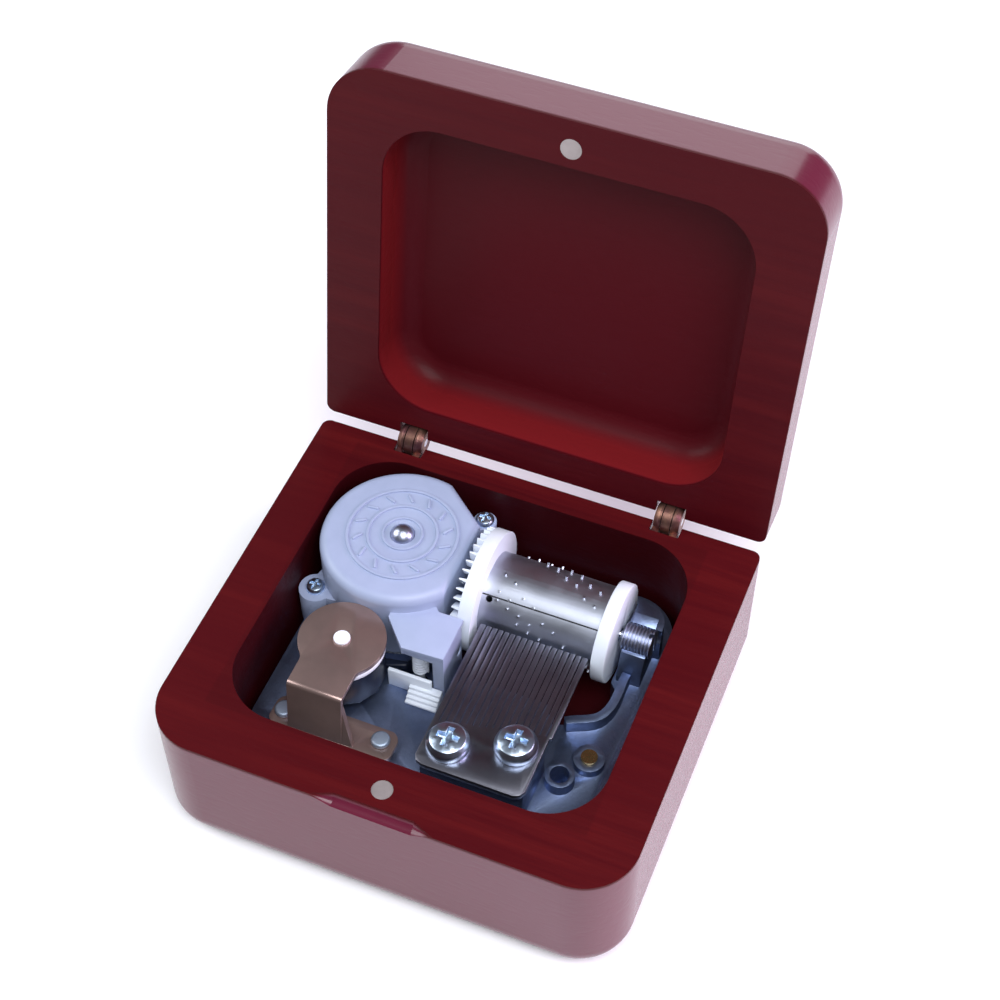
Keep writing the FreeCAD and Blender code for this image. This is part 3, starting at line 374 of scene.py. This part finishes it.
def lacquered(name, deep, light, inside, walls, hollow, rim, degrees):
    """Gloss and a painted sheen red on the outside, satin on the rims, and reds painted for light and shade
    in the hollow.
    """
    material = finish(name, deep, rough=0.5, coat=1.0, coat_rough=0.2, specular=0.10)
    tree = material.node_tree
    shader = tree.nodes["Principled BSDF"]
    shader.inputs["Coat IOR"].default_value = LACQUER_IOR
    effect = tree.nodes.new("ShaderNodeGroup")
    effect.node_tree = WOOD
    lines = times(tree, effect.outputs["Lines"], effect.outputs["Mask"])
    place = turned_place(tree, degrees, HINGE_LINE)
    # Painted light and shade in the hollow: near-black red for shade in the case's well, brighter red walls
    # in the lid's.
    near_floor = within(tree, place, 2, hollow[2][1] - FLOOR_FROM, 1, FLOOR_FADE)
    hollow_light_and_shade = blend(tree, near_floor, walls, inside)
    band = within(tree, place, 2, rim - RIM_BAND, rim + RIM_BAND)
    satin = larger(tree, band, in_block(tree, place, hollow))
    # The outside faces get a lighter, purplish red: painted sheen for the lacquer's lilac reflections.
    outer = blend(tree, satin, OUTSIDE_SHEEN_RED, blend(tree, lines, deep, light))
    tree.links.new(blend(tree, in_block(tree, place, hollow), outer, hollow_light_and_shade), shader.inputs["Base Color"])
    tree.links.new(levels(tree, satin, 0, 1, COAT_OUTSIDE, COAT_INSIDE), shader.inputs["Coat Weight"])
    node = tree.nodes.new("ShaderNodeBump")
    node.inputs["Strength"].default_value = LACQUER_BUMP
    node.inputs["Distance"].default_value = 0.00005
    tree.links.new(effect.outputs["Height"], node.inputs["Height"])
    tree.links.new(node.outputs["Normal"], shader.inputs["Normal"])
    return material


# Painted sheen: the outside faces' red is lighter and more purple than the wood of the rims.
OUTSIDE_SHEEN_RED = (0.115, 0.009, 0.028)
PLATE_LOW, PLATE_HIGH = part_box("bedplate")
BASE_TOP = top_of("base_box")
LID_GAP = 0.15 * MM
SLACK = 1.6 * MM
WELL = ((PLATE_LOW.x - SLACK, PLATE_HIGH.x + SLACK), (PLATE_LOW.y - SLACK, PLATE_HIGH.y + SLACK),
        (1 * MM, BASE_TOP - 0.3 * MM))
LID_POCKET = ((-27 * MM, 27 * MM), (-23.7 * MM, 25.3 * MM), (BASE_TOP + 0.75 * MM, BASE_TOP + 8.6 * MM))
LID_SHUTS_BY = 99.3
# Case: the floor and walls of its well are a near-black red, painted shade.
lacquered("case_lacquer", (0.062, 0.0020, 0.0042), (0.095, 0.005, 0.006), (0.032, 0.0012, 0.0028),
          (0.032, 0.0012, 0.0028), WELL, BASE_TOP, 0)
# Lid: the walls of its hollow are a brighter red, painted light; its floor has a red of its own.
lacquered("lid_lacquer", (0.058, 0.0018, 0.0046), (0.085, 0.004, 0.006), (0.072, 0.0030, 0.0065),
          (0.17, 0.009, 0.012), LID_POCKET, BASE_TOP + LID_GAP, LID_SHUTS_BY)
print("wood finishes:", sorted(FINISHES))

# %% [markdown]
# ### Metals and plastics
# The movement mixes zinc castings, plated steel, brass and three plastics. Metals take their colour in
# the reflection, so most get Metallic 1; what tells them apart is how pale and how rough they are.

# %% Metals
finish("zinc_plate", (0.27, 0.34, 0.52), 1.0, 0.48, group=CAST_GRAIN, scale=2600.0, bump=0.3,
       second=(0.18, 0.22, 0.34), rough_low=0.36)
finish("comb_steel", (0.29, 0.29, 0.34), 1.0, 0.34, group=BRUSHED, scale=1400.0, bump=0.12,
       second=(0.23, 0.23, 0.27))
finish("satin_nickel", (0.60, 0.63, 0.72), 1.0, 0.46, group=BRUSHED, scale=2200.0, bump=0.2,
       second=(0.52, 0.55, 0.64), rough_low=0.36)
finish("bright_steel", (0.82, 0.85, 0.92), 1.0, 0.16, group=BRUSHED, scale=2600.0, bump=0.05)
finish("pin_steel", (0.50, 0.52, 0.58), 1.0, 0.28, group=CAST_GRAIN, scale=2600.0, bump=0.05)
finish("turned_steel", (0.50, 0.53, 0.66), 1.0, 0.36, group=CAST_GRAIN, scale=3600.0, bump=0.3)
finish("zinc_screw", (0.72, 0.84, 0.98), 1.0, 0.28, group=CAST_GRAIN, scale=4200.0, bump=0.12,
       second=(0.56, 0.68, 0.84))
finish("rivet_zinc", (0.42, 0.50, 0.62), 0.8, 0.5, group=CAST_GRAIN, scale=4200.0, bump=0.2)
finish("dull_lead", (0.16, 0.17, 0.21), 1.0, 0.5, group=CAST_GRAIN, scale=3800.0, bump=0.3)
finish("spring_blue", (0.16, 0.19, 0.30), 1.0, 0.28, group=BRUSHED, scale=1800.0, bump=0.1)
finish("antique_brass", (0.15, 0.06, 0.065), 0.9, 0.38, group=CAST_GRAIN, scale=3000.0, bump=0.25,
       second=(0.36, 0.20, 0.13))
finish("turned_brass", (0.80, 0.55, 0.22), 1.0, 0.22, group=BRUSHED, scale=2400.0, bump=0.1)
finish("bronzed_sheet", (0.42, 0.29, 0.26), 0.75, 0.3, group=BRUSHED, scale=1500.0, bump=0.06,
       second=(0.36, 0.255, 0.23))
finish("magnet_nickel", (0.42, 0.37, 0.36), 0.5, 0.45, group=CAST_GRAIN, scale=3600.0, bump=0.15,
       second=(0.34, 0.30, 0.29))
finish("seam_shadow", (0.012, 0.013, 0.018), 0.0, 0.7, group=CAST_GRAIN, scale=3000.0, bump=0.1)
print("metals:", len(FINISHES))

# %% Plastics
finish("cover_plastic", (0.37, 0.425, 0.60), 0.0, 0.42, group=CAST_GRAIN, scale=5200.0, bump=0.12,
       second=(0.345, 0.40, 0.57))
finish("gear_plastic", (0.80, 0.86, 0.95), 0.0, 0.38, group=CAST_GRAIN, scale=5200.0, bump=0.08,
       second=(0.80, 0.84, 0.94))
finish("white_nylon", (0.84, 0.87, 0.93), 0.0, 0.4, group=CAST_GRAIN, scale=4600.0, bump=0.1,
       second=(0.79, 0.82, 0.90))
finish("black_plastic", (0.008, 0.011, 0.024), 0.0, 0.35, group=CAST_GRAIN, scale=4600.0, bump=0.12,
       second=(0.014, 0.017, 0.032), specular=0.4)

paper = bpy.data.materials.new("white_table")
paper.use_nodes = True
table = paper.node_tree.nodes["Principled BSDF"]
table.inputs["Base Color"].default_value = FLOOR_WHITE
table.inputs["Roughness"].default_value = 0.9
table.inputs["Specular IOR Level"].default_value = 0.1
floor.data.materials.append(paper)
print("finishes:", len(FINISHES))

# %% [markdown]
# ## Which part wears which finish
# A part whose shape is already right only changes its material. The list reads as a parts list.

# %% Dress the parts
WEARS = {
    "case_lacquer": ["base_box"],
    "lid_lacquer": ["lid"],
    "magnet_nickel": ["base_magnet", "lid_magnet", "stop_magnet"],
    "antique_brass": ["hinge_base_forks", "hinge_lid_tongues", "winding_key"],
    "bright_steel": ["hinge_pins", "cylinder_arbor", "governor_arbor"],
    "pin_steel": ["cylinder_pins"],
    "turned_steel": ["spring_arbor", "bearing_screw"],
    "zinc_plate": ["bedplate", "barrel_floor"],
    "turned_brass": ["case_screws", "worm_wheel"],
    "comb_steel": ["comb"],
    "dull_lead": ["comb_weights"],
    "satin_nickel": ["cylinder_sleeve"],
    "zinc_screw": ["comb_screws", "cover_screws"],
    "rivet_zinc": ["bracket_rivets"],
    "gear_plastic": ["cylinder_gear", "cylinder_end_disc", "great_wheel", "governor_pinion",
                     "governor_worm", "governor_foot"],
    "cover_plastic": ["spring_cover"],
    "spring_blue": ["mainspring", "clutch_coil"],
    "bronzed_sheet": ["stop_bracket"],
    "white_nylon": ["stop_post", "stop_disc"],
    "black_plastic": ["stop_lever", "air_brake_fan"],
}


def dress(piece, name):
    """Give a piece one finish and nothing else."""
    piece.data.materials.clear()
    piece.data.materials.append(FINISHES[name])


for name, worn_by in WEARS.items():
    for node in worn_by:
        dress(nodes[node], name)
print("dressed:", sum(len(worn_by) for worn_by in WEARS.values()), "of", len(nodes))

# %% [markdown]
# ## Soft edges
# Nothing moulded, cast or stamped has knife edges: a narrow rounding along each edge catches the light as
# a thin bright line. A solid model has sharp edges, so a copy of each visible part is merged at its
# doubled points, its flat faces are joined again, and a bevel rounds what turns sharply. The copy then
# stands in for the part.

# %% Helper: soft-edged stand-in


def wake(piece):
    """Make one piece the only selected and active one."""
    bpy.ops.object.select_all(action="DESELECT")
    piece.select_set(True)
    bpy.context.view_layer.objects.active = piece


def soft_copy(node, body, slot, width, finish_name, sharp=38.0, segments=2):
    """Copy of a part with every sharp edge rounded by a small width."""
    piece = nodes[node].copy()
    piece.data = nodes[node].data.copy()
    piece.name = node + "_soft"
    piece.parent = None
    piece.matrix_world = Matrix.Identity(4)
    for key in list(piece.keys()):
        del piece[key]
    bpy.context.scene.collection.objects.link(piece)
    piece.hide_render = False
    wake(piece)
    bpy.ops.object.mode_set(mode="EDIT")
    bpy.ops.mesh.select_all(action="SELECT")
    bpy.ops.mesh.remove_doubles(threshold=0.000002)
    bpy.ops.mesh.customdata_custom_splitnormals_clear()
    bpy.ops.mesh.dissolve_limited(angle_limit=math.radians(0.6))
    bpy.ops.object.mode_set(mode="OBJECT")
    rounding = piece.modifiers.new("rounding", "BEVEL")
    rounding.width = width
    rounding.segments = segments
    rounding.limit_method = "ANGLE"
    rounding.angle_limit = math.radians(sharp)
    rounding.use_clamp_overlap = True
    bpy.ops.object.modifier_apply(modifier="rounding")
    bpy.ops.object.shade_smooth_by_angle(angle=math.radians(50))
    dress(piece, finish_name)
    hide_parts(node)
    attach(piece, body)
    return piece


# %% Soft-edged movement parts
SOFTENED = [
    ("spring_cover", "case", "grey_plastic", 0.00022, "cover_plastic"),
    ("bedplate", "case", "zinc_casting", 0.0003, "zinc_plate"),
    ("governor_foot", "case", "white_plastic", 0.00012, "gear_plastic"),
    ("comb", "case", "comb_steel", 0.00006, "comb_steel"),
    ("stop_bracket", "case", "bronze_sheet", 0.00009, "bronzed_sheet"),
    ("comb_screws", "case", "zinc_screw", 0.00022, "zinc_screw"),
    ("cover_screws", "case", "zinc_screw", 0.00012, "zinc_screw"),
    ("bracket_rivets", "case", "zinc_screw", 0.00015, "rivet_zinc"),
    ("bearing_screw", "case", "zinc_screw", 0.00006, "turned_steel"),
    ("cylinder_end_disc", "cylinder", "white_plastic", 0.0002, "gear_plastic"),
    ("cylinder_gear", "cylinder", "white_plastic", 0.0001, "gear_plastic"),
    ("stop_lever", "stop", "black_plastic", 0.0002, "black_plastic"),
    ("stop_disc", "stop", "nylon_white", 0.00015, "white_nylon"),
]
for row in SOFTENED:
    made = soft_copy(*row)
    print(made.name, len(made.data.polygons), "faces")

# %% [markdown]
# ## The cover's rings
# The spring cover is moulded with a low raised pattern round the winding shaft. Here it is a pattern of
# its own: two plain rings and a wreath of short bars between them. Each ring starts as a cylinder, is
# inset to a narrow band, and is sunk a little into the cover so that only its top shows.

# %% Helper: flat ring


def flat_ring(name, centre, outer, inner, low, high, sides=96):
    """Ring with a flat top, made from a cylinder whose ends are inset and bridged."""
    bpy.ops.object.select_all(action="DESELECT")
    bpy.ops.mesh.primitive_cylinder_add(vertices=sides, radius=outer, depth=high - low,
                                        location=(centre.x, centre.y, (low + high) / 2))
    piece = bpy.context.active_object
    piece.name = name
    bpy.ops.object.transform_apply(location=True, rotation=True, scale=True)
    bpy.ops.object.mode_set(mode="EDIT")
    bpy.ops.mesh.select_mode(type="FACE")
    bpy.ops.mesh.select_all(action="DESELECT")
    shape = bmesh.from_edit_mesh(piece.data)
    for face in shape.faces:
        face.select = abs(face.normal.z) > 0.9
    bmesh.update_edit_mesh(piece.data)
    bpy.ops.mesh.inset(thickness=outer - inner, use_even_offset=True)
    bpy.ops.mesh.bridge_edge_loops()
    bpy.ops.object.mode_set(mode="OBJECT")
    return piece


def round_off(piece, width, segments=2, sharp=40.0):
    """Bevel modifier, applied, then smooth shading up to a set angle."""
    wake(piece)
    rounding = piece.modifiers.new("rounding", "BEVEL")
    rounding.width = width
    rounding.segments = segments
    rounding.angle_limit = math.radians(sharp)
    bpy.ops.object.modifier_apply(modifier="rounding")
    bpy.ops.object.shade_smooth_by_angle(angle=math.radians(45))
    return piece


def settle(piece, body, finish_name):
    """Dress a finished piece and let it ride on its body."""
    dress(piece, finish_name)
    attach(piece, body)
    return piece


print("ring helper ready")

# %% Rings and bars on the cover
RING_RISE = 0.3 * MM
COVER_CENTRE = Vector((SPRING.x, SPRING.y, COVER_TOP))
RING_SUNK = 0.2 * MM
BAR_REACH = 6.65 * MM
BAR_SIZE = (1.7 * MM, 0.42 * MM, RING_RISE + RING_SUNK)
BAR_LEAN = math.radians(32)
RING_BANDS = ((8.4, 7.9), (5.35, 4.9), (3.1, 2.7))
for number, (outer, inner) in enumerate(RING_BANDS):
    ring = flat_ring(f"cover_ring_{number}", COVER_CENTRE, outer * MM, inner * MM,
                     COVER_TOP - RING_SUNK, COVER_TOP + RING_RISE)
    round_off(ring, 0.09 * MM)
    settle(ring, "case", "cover_plastic")

BARS = 14
for number in range(BARS):
    angle = 2 * math.pi * number / BARS
    bpy.ops.object.select_all(action="DESELECT")
    bpy.ops.mesh.primitive_cube_add(size=1, location=(0, 0, 0))
    bar = bpy.context.active_object
    bar.name = f"cover_bar_{number}"
    bar.scale = BAR_SIZE
    bar.rotation_euler.z = angle + BAR_LEAN
    bar.location = (SPRING.x + BAR_REACH * math.cos(angle), SPRING.y + BAR_REACH * math.sin(angle),
                    COVER_TOP - RING_SUNK + (RING_RISE + RING_SUNK) / 2)
    bpy.ops.object.transform_apply(location=True, rotation=True, scale=True)
    round_off(bar, 0.1 * MM)
    settle(bar, "case", "cover_plastic")
print("cover pattern:", len(RING_BANDS), "rings and", BARS, "bars")

# %% [markdown]
# ## Seam of the cylinder
# The cylinder is a strip of steel rolled up, so a dark seam runs from end to end. A thin dark bar is laid
# so that it just breaks the surface and shows as a hair line from every side.

# %% Seam
SEAM_DEGREES = 129.0
SEAM_WIDTH = 0.22 * MM
SEAM_DEEP = 0.1 * MM
SEAM_R = SLEEVE_R - 0.03 * MM
bpy.ops.object.select_all(action="DESELECT")
bpy.ops.mesh.primitive_cube_add(size=1, location=(0, 0, 0))
seam = bpy.context.active_object
seam.name = "cylinder_seam"
seam.scale = (SLEEVE_HIGH.x - SLEEVE_LOW.x, SEAM_WIDTH, SEAM_DEEP)
seam.rotation_euler.x = math.radians(SEAM_DEGREES - 90)
seam.location = (AXLE.x, AXLE.y + SEAM_R * math.cos(math.radians(SEAM_DEGREES)),
                 AXLE.z + SEAM_R * math.sin(math.radians(SEAM_DEGREES)))
bpy.ops.object.transform_apply(location=True, rotation=True, scale=True)
settle(seam, "cylinder", "seam_shadow")
print("seam", round((SLEEVE_HIGH.x - SLEEVE_LOW.x) / MM, 1), "mm long")
